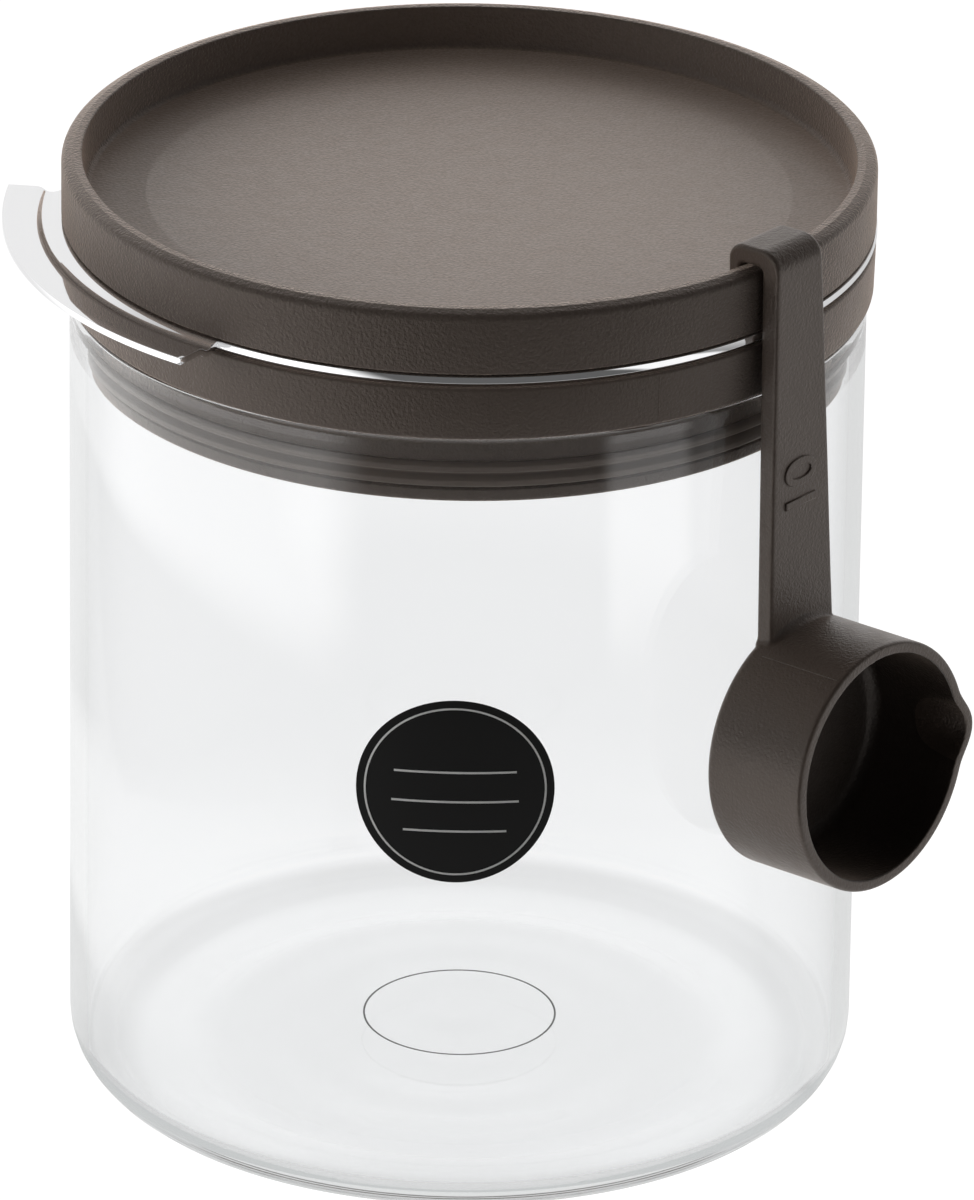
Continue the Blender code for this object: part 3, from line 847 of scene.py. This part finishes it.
def lip_push(across, up, depth):
    """How far the lip moves a wall point out, by its angle round the cup and depth from the mouth."""
    angle = math.degrees(math.atan2(up, across))
    if abs(angle) > LIP_ANGLE or depth > LIP_LONG:
        return 0.0
    swell = math.cos(math.pi / 2 * angle / LIP_ANGLE) ** 2
    return LIP_OUT * swell * (1 - max(depth, 0.0) / LIP_LONG) ** 1.4


def cup_mesh(name, corners, steps=128):
    """Turn an outline of (radius, outward) corners round the cup's axis and press the lip."""
    shape = bmesh.new()
    rings = []
    for point in arcs(corners, steps=5):
        ring = []
        for step in range(steps):
            angle = 2 * math.pi * step / steps
            across, up = point.x * math.cos(angle), point.x * math.sin(angle)
            if point.x > CUP_BORE / 2:
                stretch = 1 + lip_push(across, up, CUP_LONG - point.y) / point.x
                across, up = across * stretch, up * stretch
            ring.append(shape.verts.new((point.y, across, up - CUP_DROP)))
        rings.append(ring)
    skin(shape, rings)
    return raw_object(name, shape)


def drum():
    walls = [(CUP_OUT, CUP_LONG - LIP_LONG * (1 - step / WALL_STEPS), 0) for step in range(WALL_STEPS)]
    mouth = [(CUP_OUT, CUP_LONG, 0.4), (0.01, CUP_LONG, 0)]
    return cup_mesh("cup_drum", [(0.01, 0, 0), (CUP_OUT, 0, 1.0)] + walls + mouth)


def hollow():
    walls = [(CUP_BORE, CUP_LONG - LIP_LONG * (1 - step / WALL_STEPS), 0) for step in range(WALL_STEPS + 1)]
    past_mouth = [(CUP_BORE, CUP_LONG + 2, 0), (0.01, CUP_LONG + 2, 0)]
    return cup_mesh("cup_hollow", [(0.01, CUP_FLOOR, 0), (CUP_BORE, CUP_FLOOR, 2.0)] + walls + past_mouth)


def weld_bead():
    """The rounded corner where the handle's face meets the drum."""
    bead = bmesh.new()
    half = math.asin((handle_half(CUP_OUT + 2 - CUP_DROP, 1) - 0.3) / CUP_OUT)
    rings = []
    for step in range(33):
        share = step / 16 - 1
        angle = half * share
        fade = max(share, 0.0) ** 1.5 if share > 0 else 0.6 * abs(share) ** 4
        radius = 0.12 + 1.1 * (1 - fade)
        section = [(1.2, CUP_OUT - 0.8), (1.2, CUP_OUT + radius), (HANDLE_FOOT - 0.1, CUP_OUT + radius)]
        for part in range(1, 8):
            turn = math.pi / 2 * part / 8
            section.append((HANDLE_FOOT + radius * (1 - math.cos(turn)), CUP_OUT + radius * (1 - math.sin(turn))))
        section += [(HANDLE_FOOT + radius, CUP_OUT - 0.1), (HANDLE_FOOT + radius, CUP_OUT - 0.8)]
        rings.append([bead.verts.new((out, away * math.sin(angle), away * math.cos(angle) - CUP_DROP))
                      for out, away in section])
    skin(bead, rings)
    return raw_object("weld_bead", bead)


cup_volume = math.pi * CUP_BORE ** 2 * (CUP_LONG - CUP_FLOOR) / 1000
print("the cup holds about", round(cup_volume, 1), "ml without the lip")

# %% [markdown]
# ## The number on the handle
# Moulded measures carry their volume in raised digits. A Text object gives the digits their outline, an
# extrusion their height and a small bevel their soft mould edge. They stand about a third of a
# millimetre out of the handle, so they show only by the light on their edges.

# %% Raised number
NUMBER_HIGH = 8.0
NUMBER_EDGE = 0.12
NUMBER_LIFT = 0.1
NUMBER_UP = -29.0


def raised_number(text, height, lift, middle):
    """Digits that read up the handle, as a mesh in the spoon's millimetre frame."""
    curve = bpy.data.curves.new("number_text", "FONT")
    curve.body = text
    curve.size = height
    curve.extrude = lift
    curve.bevel_depth = NUMBER_EDGE
    curve.bevel_resolution = 2
    curve.align_x = "CENTER"
    curve.align_y = "CENTER"
    letters = add_object("number_text", curve)
    bpy.context.view_layer.update()
    mesh = bpy.data.meshes.new_from_object(letters.evaluated_get(bpy.context.evaluated_depsgraph_get()))
    bpy.data.objects.remove(letters)
    read_up = Matrix(((0, 0, 1, 0), (0, -1, 0, 0), (1, 0, 0, 0), (0, 0, 0, 1)))
    mesh.transform(Matrix.Translation(middle) @ read_up)
    return mesh


number_mesh = raised_number("10", NUMBER_HIGH, NUMBER_LIFT, Vector((HANDLE_FOOT + NUMBER_EDGE, 0, NUMBER_UP)))
raised_by = max(vertex.co.x for vertex in number_mesh.vertices) - HANDLE_FOOT
print("the digits stand", round(raised_by, 2), "mm out of the handle")

# %% [markdown]
# ## Lines left by the mould's halves
# Where two halves of a mould meet, a hair-fine ridge stays on the moulding: one on the cup's side and
# one on the collar. A ridge could be drawn in the bump, but then it would vanish at the outline, so
# each is a tiny closed bar with a roof-shaped section.

# %% Lines left by the mould's halves
def parting_line(points, out, width=0.11, height=0.05):
    """A fine raised line through some points; out gives the direction away from the surface."""
    ridge = bmesh.new()
    rows = []
    for index, point in enumerate(points):
        along = (points[min(index + 1, len(points) - 1)] - points[max(index - 1, 0)]).normalized()
        side = along.cross(out).normalized() * (width / 2)
        root = out * 0.2
        section = (point + side - root, point + side, point + out * height, point - side, point - side - root)
        rows.append([ridge.verts.new(corner) for corner in section])
    skin(ridge, rows)
    return ridge


def cup_line():
    """Along the drum, from the handle's left foot to the mouth."""
    angle = math.radians(119.0)
    out = Vector((0, math.cos(angle), math.sin(angle)))
    base = out * CUP_OUT - Vector((0, 0, CUP_DROP))
    return parting_line([base + Vector((HANDLE_FOOT + 0.1 + step * 1.5, 0, 0)) for step in range(9)], out)


def collar_line():
    """Up the collar, at its front right."""
    out = Vector(around(1.0, math.radians(27.5), 0))
    rise = (LID_OUT - COLLAR_OUT) / (COLLAR_HIGH - COLLAR_LOW)
    heights = [108.4 + step for step in range(6)] + [114.1]
    points = [out * (COLLAR_OUT + (height - COLLAR_LOW) * rise) + Vector((0, 0, height)) for height in heights]
    return parting_line(points, out)


cup_ridge = cup_line()
collar_ridge = collar_line()
print("ridges:", len(cup_ridge.verts), "and", len(collar_ridge.verts), "points")

# %% [markdown]
# ## Putting the spoon together
# The drum, the handle and the bead are fused, the bore is cut out with the same Boolean tool, and then
# the skin is remeshed and smoothed. All of this happens in the spoon's own upright frame, and one matrix
# takes it to its place on the rim: turned to the front right, and leaning out a little as it hangs. The
# inside of the cup is painted a tone darker, as painted shade for the deep bore that little light reaches.

# %% Spoon assembly
def smooth_skin(piece, voxel):
    """Melt a piece into one skin and take the sharpness off its edges."""
    melt = piece.modifiers.new("melt", "REMESH")
    melt.mode = "VOXEL"
    melt.voxel_size = voxel
    soften = piece.modifiers.new("soften", "SMOOTH")
    soften.factor = 0.5
    soften.iterations = 2
    thin = piece.modifiers.new("thin", "DECIMATE")
    thin.ratio = 0.4
    return applied(piece)


def spoon_place():
    """From the spoon's own frame to the jar's, in metres."""
    seat = Vector(around(LID_OUT + HANDLE_CLEAR, math.radians(SPOON_TURN), RIM_TOP))
    turn = Matrix.Rotation(math.radians(SPOON_TURN - 90), 4, "Z")
    lean = Matrix.Rotation(-math.radians(SPOON_LEAN), 4, "Y")
    return Matrix.Scale(MM, 4) @ Matrix.Translation(seat) @ (turn @ lean)


def build_spoon():
    spoon = drum()
    fuse(spoon, handle_mesh())
    fuse(spoon, weld_bead())
    fuse(spoon, hollow(), "DIFFERENCE")
    smooth_skin(spoon, VOXEL)
    spoon.name = "spoon_body"
    spoon.data.transform(spoon_place())
    spoon.data.materials.clear()
    spoon.data.materials.append(spoon_plastic)
    spoon.data.shade_smooth()
    return spoon


BORE_SHADE = 0.4
BORE_EDGE = 0.15
BORE_FROM = 1.0


def paint_bore_shade(material):
    """Paint shade into the cup: the inside's colour is made darker than the outside's, as painted shade in the
    bore.
    """
    tree = material.node_tree
    place = spoon_place()
    axis = (place.to_3x3() @ Vector((1, 0, 0))).normalized()
    offset = vector_step(tree, "SUBTRACT", object_place(tree), place @ Vector((0, 0, -CUP_DROP)))[0]
    along = vector_step(tree, "DOT_PRODUCT", offset, axis)["Value"]
    across = vector_step(tree, "CROSS_PRODUCT", offset, axis)[0]
    reach = vector_step(tree, "LENGTH", across)["Value"]
    within = combine(tree, "LESS_THAN", reach, (CUP_BORE + BORE_EDGE) * MM)
    inside = combine(tree, "MULTIPLY", within, combine(tree, "GREATER_THAN", along, BORE_FROM * MM))
    scale = tree.nodes["plastic colour"].inputs["Scale"]
    # painted shade: the colour inside the bore is scaled darker, for the shade in the deep cup
    darker = ramp(tree, inside, 0.0, 1.0, 1.0, BORE_SHADE, smooth=False)
    feed(tree, combine(tree, "MULTIPLY", scale.links[0].from_socket, darker), scale)


paint_bore_shade(spoon_plastic)
dress(build_spoon(), "spoon", "taupe_plastic", "measuring_spoon")
number_mesh.transform(spoon_place())
number = add_object("spoon_number", number_mesh)
number_mesh.materials.clear()
number_mesh.materials.append(spoon_plastic)
dress(number, "spoon", "taupe_plastic")
bmesh.ops.transform(cup_ridge, matrix=Matrix.Scale(1000, 4) @ spoon_place(), verts=cup_ridge.verts)
dress(finish_mesh("cup_parting_line", cup_ridge, spoon_plastic), "spoon", "taupe_plastic")
dress(finish_mesh("collar_parting_line", collar_ridge, plug_plastic), "lid", "taupe_plastic")

# %% [markdown]
# ## Levels of light
# The jar stands on a white sweep in a white studio, and there are no lamps: the sweep and the room glow.
# A lid that is matte and a glass that is clear need different surroundings. A photographer gives the
# clear glass a bright field behind and dark cards in front, and lights the lid with soft panels. Here
# each kind of ray gets its own level, so the two can be set apart. A span says where one level fades
# into the next, in metres from the jar's axis or as an azimuth. Azimuths go round from the front, to the
# right where they are positive, in radians for the floor and in degrees for the panels.

# %% Levels of light
FLOOR_MATTE = 0.24
FLOOR_GLOW = 0.97
THROUGH_GLOW = 0.83
HIGH_GLOW = 0.2
UNDER_GLOW = 0.77
RING_GLOW = 0.83
RING_SHADOW = 0.13
FAR_LOSS = 0.12
FRONT_LOSS = 0.10
DEEP_GLOW = 0.64
SOFT_GLOW = 1.2
SOFT_MIDDLE = 0.44
LEFT_NEAR = 0.66
LEFT_FAR = 1.35
RIGHT_GLOW = 0.62
WINDOW_GLOW = 1.0
FRONT_DARK = 0.03
LIGHT_TURN = -168.0
ROOM_WHITE = 0.93
PANEL_CORE = 10.0
PANEL_EDGE = 24.0
PANELS = ((180, 12, 3.3), (-150, 12, 2.9), (-88, 10, 3.4), (-55, 12, 2.4), (85, 12, 2.1), (125, 10, 2.2),
          (180, 38, 1.1))
THROUGH_STEPS = ((0.029, 0.036, RING_GLOW - UNDER_GLOW), (0.039, 0.045, -RING_SHADOW),
                 (0.052, 0.060, THROUGH_GLOW - RING_GLOW + RING_SHADOW), (0.35, 1.0, -FAR_LOSS))
FRONT_SPAN = (0.030, 0.042)
SOFT_STEPS = ((-1.05, -0.60, -SOFT_GLOW), (0.40, 0.85, SOFT_MIDDLE), (0.90, 1.50, SOFT_GLOW - SOFT_MIDDLE))
FAR_SPAN = (0.20, 0.235)
LEFT_BACK_SPAN = (-2.30, -1.75)
LEFT_FRONT_SPAN = (-0.72, -0.42)
NEAR_BACK_SPAN = (-2.6, -2.0)
NEAR_FRONT_SPAN = (-1.9, -0.6)
RIGHT_SPAN = (0.9, 1.5)
WINDOW_START = (0.62, 0.72)
WINDOW_STOP = (1.04, 1.14)
RING_SPAN = (0.12, 0.20)
EDGE_SPAN = (0.060, 0.085)
RING_SIDES = ((1.1, 1.5, 1.0, 0.45), (-1.5, -0.9, 0.85, 1.0))
print("panels as (azimuth, height, level):", PANELS)

# %% [markdown]
# ## Telling rays apart
# The Light Path node says how a ray got here. A ray that left clear glass and was never mirrored sees
# the floor as through a window. One that was mirrored, by steel or by the glass's skin, sees the room
# that a mirror would. One that was mirrored often, inside the glass wall, gets one middle level. All
# the others light matte things.

# %% Kinds of rays
def ray_kinds(tree):
    """Switches between 0 and 1 for the kinds of rays."""
    rays = add_node(tree, "LightPath").outputs
    clear = combine(tree, "LESS_THAN", rays["Diffuse Depth"], 0.5)
    leaving = combine(tree, "MULTIPLY", clear, rays["Is Transmission Ray"])
    unmirrored = combine(tree, "LESS_THAN", rays["Glossy Depth"], 0.5)
    straight = combine(tree, "MULTIPLY", leaving, unmirrored)
    mirrored = combine(tree, "MAXIMUM", leaving, rays["Is Glossy Ray"])
    often = combine(tree, "GREATER_THAN", rays["Glossy Depth"], OFTEN)
    return {"leaving": leaving, "straight": straight, "mirrored": mirrored, "often": often,
            "camera": rays["Is Camera Ray"]}


print("a ray counts as often mirrored from", math.ceil(OFTEN), "mirrorings on")

# %% [markdown]
# ## The floor
# One large plane with a matte part, which keeps the jar's soft shadow, and a glow that depends on the
# kind of ray. Matte things get light from the sides and the back. Mirrors see two bright sides with
# ends, a bright window at the right, a bright ring close round the jar, and darkness in front. Straight
# through the glass the floor is nearly white, a little dimmer under the jar and in front of it, with a
# paler ring where the glass stands and a darker ring under the edge of its foot. The dimness under the
# jar and that darker ring are painted shadow in the glow.

# %% Floor
def add_steps(tree, value, level, steps):
    """Start at a level and change it smoothly over each (from, to, change) as the value grows."""
    for low, high, change in steps:
        level = combine(tree, "ADD", level, ramp(tree, value, low, high, 0.0, change))
    return level


def mirrored_left(tree, turn, away):
    """The bright left side: one level close by, and a brighter field further out that ends in front."""
    far = add_steps(tree, turn, 0.6, ((*LEFT_BACK_SPAN, 0.4), (*LEFT_FRONT_SPAN, -1.0)))
    far = combine(tree, "MULTIPLY", far, ramp(tree, away, *FAR_SPAN, 0.0, LEFT_FAR))
    near = ramp(tree, turn, *NEAR_FRONT_SPAN, LEFT_NEAR, FRONT_DARK)
    near = combine(tree, "ADD", near, ramp(tree, turn, *NEAR_BACK_SPAN, 0.12, 0.0))
    return combine(tree, "MAXIMUM", far, near)


def mirrored_right(tree, turn, away):
    """The right side, and in it a bright window with two sharp ends."""
    side = ramp(tree, turn, *RIGHT_SPAN, FRONT_DARK, RIGHT_GLOW)
    window = add_steps(tree, turn, 0.0, ((*WINDOW_START, WINDOW_GLOW), (*WINDOW_STOP, -WINDOW_GLOW)))
    window = combine(tree, "MULTIPLY", window, ramp(tree, away, *FAR_SPAN, 0.0, 1.0))
    return combine(tree, "MAXIMUM", side, window)


def mirrored_ring(tree, turn, away):
    """The bright ring on the floor close round the jar, weaker at the sides and under the jar's edge."""
    ring = ramp(tree, away, *RING_SPAN, 1.0, 0.0)
    for span in RING_SIDES:
        ring = combine(tree, "MULTIPLY", ring, ramp(tree, turn, *span))
    return combine(tree, "MULTIPLY", ring, ramp(tree, away, *EDGE_SPAN, 0.55, 1.0))


def mirrored_glow(tree, turn, away):
    """The floor as steel and glass mirror it."""
    sides = combine(tree, "MAXIMUM", mirrored_left(tree, turn, away), mirrored_right(tree, turn, away))
    return combine(tree, "MAXIMUM", sides, mirrored_ring(tree, turn, away))


def through_glow(tree, forward, away):
    """The floor as it is seen straight through the glass."""
    # painted shadow: the glow is lower under the jar and in a ring under the edge of its foot
    level = add_steps(tree, away, UNDER_GLOW, THROUGH_STEPS)
    return combine(tree, "SUBTRACT", level, ramp(tree, forward, *FRONT_SPAN, 0.0, FRONT_LOSS))


def glow_floor():
    material, shader = new_material("white sweep")
    tree = material.node_tree
    tree.nodes.remove(shader)
    matte = add_node(tree, "BsdfDiffuse", Color=(FLOOR_MATTE, FLOOR_MATTE, FLOOR_MATTE, 1.0))
    glow = add_node(tree, "Emission")
    place = object_place(tree)
    away = vector_step(tree, "LENGTH", place)["Value"]
    axes = add_node(tree, "SeparateXYZ")
    feed(tree, place, axes.inputs[0])
    forward = combine(tree, "MULTIPLY", axes.outputs["Y"], -1.0)
    turn = combine(tree, "ARCTAN2", axes.outputs["X"], forward)
    kinds = ray_kinds(tree)
    soft = add_steps(tree, turn, SOFT_GLOW, SOFT_STEPS)
    level = choose(tree, kinds["mirrored"], soft, mirrored_glow(tree, turn, away))
    level = choose(tree, kinds["straight"], level, through_glow(tree, forward, away))
    level = choose(tree, kinds["often"], level, DEEP_GLOW)
    feed(tree, choose(tree, kinds["camera"], level, FLOOR_GLOW), glow.inputs["Strength"])
    total = add_node(tree, "AddShader")
    feed(tree, matte.outputs[0], total.inputs[0])
    feed(tree, glow.outputs[0], total.inputs[1])
    feed(tree, total.outputs[0], tree.nodes["Material Output"].inputs["Surface"])
    return material


FLOOR_HALF = 30000
floor_shape = bmesh.new()
bmesh.ops.create_grid(floor_shape, x_segments=8, y_segments=8, size=FLOOR_HALF)
floor = finish_mesh("floor", floor_shape, glow_floor())
floor.location.z = -0.3 * MM
print("floor", [round(side) for side in floor.dimensions[:2]], "m wide and deep")

# %% [markdown]
# ## The room
# A world of glow by direction. Seven soft panels round the jar light the matte parts: most of them are
# low, at the sides and behind, which leaves the front of the lid darker than its top. Mirrors see a room
# that is bright behind and dark in front, and rays that leave the glass see a bright field that dims
# upwards. The camera itself sees plain white.

# %% Room
def towards(tree, place, turn, rise):
    """How much a direction agrees with the one at some degrees round from the front and up."""
    turn, rise = math.radians(turn), math.radians(rise)
    aim = (math.sin(turn) * math.cos(rise), -math.cos(turn) * math.cos(rise), math.sin(rise))
    return vector_step(tree, "DOT_PRODUCT", place, aim)["Value"]


def soft_panels(tree, place):
    """The light of all panels in a direction."""
    low, high = math.cos(math.radians(PANEL_EDGE)), math.cos(math.radians(PANEL_CORE))
    light = 0.0
    for turn, rise, level in PANELS:
        light = combine(tree, "ADD", light, ramp(tree, towards(tree, place, turn, rise), low, high, 0.0, level))
    return light


def room_light():
    world = bpy.data.worlds.new("studio")
    bpy.context.scene.world = world
    world.use_nodes = True
    tree = world.node_tree
    place = add_node(tree, "TexCoord").outputs["Generated"]
    axes = add_node(tree, "SeparateXYZ")
    feed(tree, place, axes.inputs[0])
    rise = axes.outputs["Z"]
    depth = ramp(tree, towards(tree, place, LIGHT_TURN, 0.0), 0.10, 0.60, FRONT_DARK, ROOM_WHITE)
    mirrored = combine(tree, "MULTIPLY", depth, ramp(tree, rise, 0.55, 0.9, 1.0, 0.3))
    kinds = ray_kinds(tree)
    level = choose(tree, kinds["mirrored"], soft_panels(tree, place), mirrored)
    level = choose(tree, kinds["leaving"], level, ramp(tree, rise, 0.10, 0.55, THROUGH_GLOW, HIGH_GLOW))
    level = choose(tree, kinds["often"], level, DEEP_GLOW)
    background = tree.nodes["Background"]
    feed(tree, choose(tree, kinds["camera"], level, 1.0), background.inputs["Strength"])
    background.inputs["Color"].default_value = (1.0, 1.0, 1.0, 1.0)
    return world


print("world:", room_light().name, "with", len(PANELS), "panels")

# %% [markdown]
# ## The camera
# The lid's and the base's ellipses in a picture give away how far a camera stood and how high. Here it
# stands 1.76 m from the jar's foot, 26 degrees up, with a long lens, so the jar's sides stay almost
# parallel. The picture leans by less than a degree, and the camera's axes are turned by the same.

# %% Camera
LENS = 410.4
EYE = Vector((0.0, -1.5774, 0.7816))
TARGET = Vector((0.00286, 0.0, 0.0633))
ROLL = 0.74


def aim_camera():
    data = bpy.data.cameras.new("camera")
    data.sensor_fit = "VERTICAL"
    data.sensor_height = 36.0
    data.lens = LENS
    data.clip_start = 0.1
    data.clip_end = 200.0
    camera = add_object("camera", data)
    look = (TARGET - EYE).normalized()
    right = look.cross(Vector((0, 0, 1))).normalized()
    up = right.cross(look)
    roll = math.radians(ROLL)
    tilted_right = math.cos(roll) * right + math.sin(roll) * up
    tilted_up = -math.sin(roll) * right + math.cos(roll) * up
    camera.matrix_world = Matrix.Translation(EYE) @ Matrix((tilted_right, tilted_up, -look)).transposed().to_4x4()
    bpy.context.scene.camera = camera
    return camera


aim_camera()
bpy.context.scene.view_settings.view_transform = "Standard"
print("camera", round(EYE.length, 2), "m from the jar's foot with a", LENS, "mm lens")
